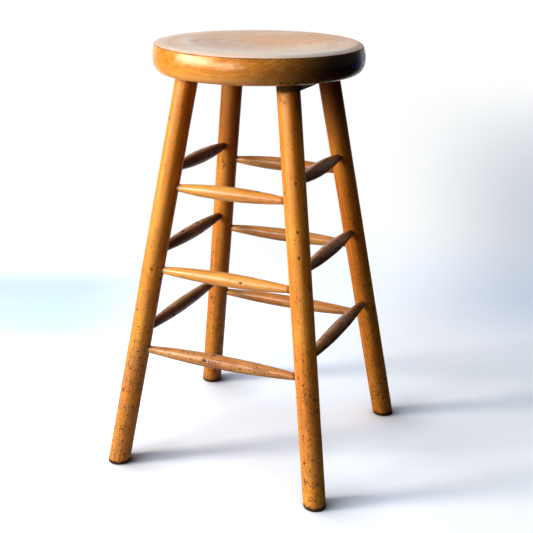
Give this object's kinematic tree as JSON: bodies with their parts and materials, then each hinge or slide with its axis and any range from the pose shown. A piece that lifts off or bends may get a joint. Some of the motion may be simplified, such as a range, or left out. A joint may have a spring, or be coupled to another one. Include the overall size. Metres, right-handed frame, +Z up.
{
  "type": "stool",
  "caption": "Tall backless stool with a round dished seat on raked round legs, tied by tiers of turned rungs.",
  "frame": {"origin": "on the floor, at the middle of the four feet and under the middle of the seat", "axes": "+Z up; the front of the stool faces -Y, its left side is -X; front and back rungs run along X, side rungs and cleats along Y"},
  "size_m": [0.4132, 0.4132, 0.73],
  "materials": {
    "seat_wood": "aged honey varnish, worn satin, pale on top",
    "leg_wood": "aged honey varnish, satin, dented and dark in the dents",
    "rung_wood": "aged honey varnish, satin, rubbed by feet",
    "cleat_wood": "thin varnish over planed wood",
    "screw_metal": "dull, darkened"
  },
  "bodies": {
    "root": {"seat": "seat_wood", "leg_front_left": "leg_wood", "leg_front_right": "leg_wood", "leg_back_right": "leg_wood", "leg_back_left": "leg_wood", "rung_front_low": "rung_wood", "rung_front_middle": "rung_wood", "rung_front_high": "rung_wood", "rung_back_low": "rung_wood", "rung_back_middle": "rung_wood", "rung_back_high": "rung_wood", "rung_left_low": "rung_wood", "rung_left_middle": "rung_wood", "rung_left_high": "rung_wood", "rung_right_low": "rung_wood", "rung_right_middle": "rung_wood", "rung_right_high": "rung_wood", "cleat_left": "cleat_wood", "cleat_right": "cleat_wood", "cleat_screws": "screw_metal"}
  },
  "joints": []
}
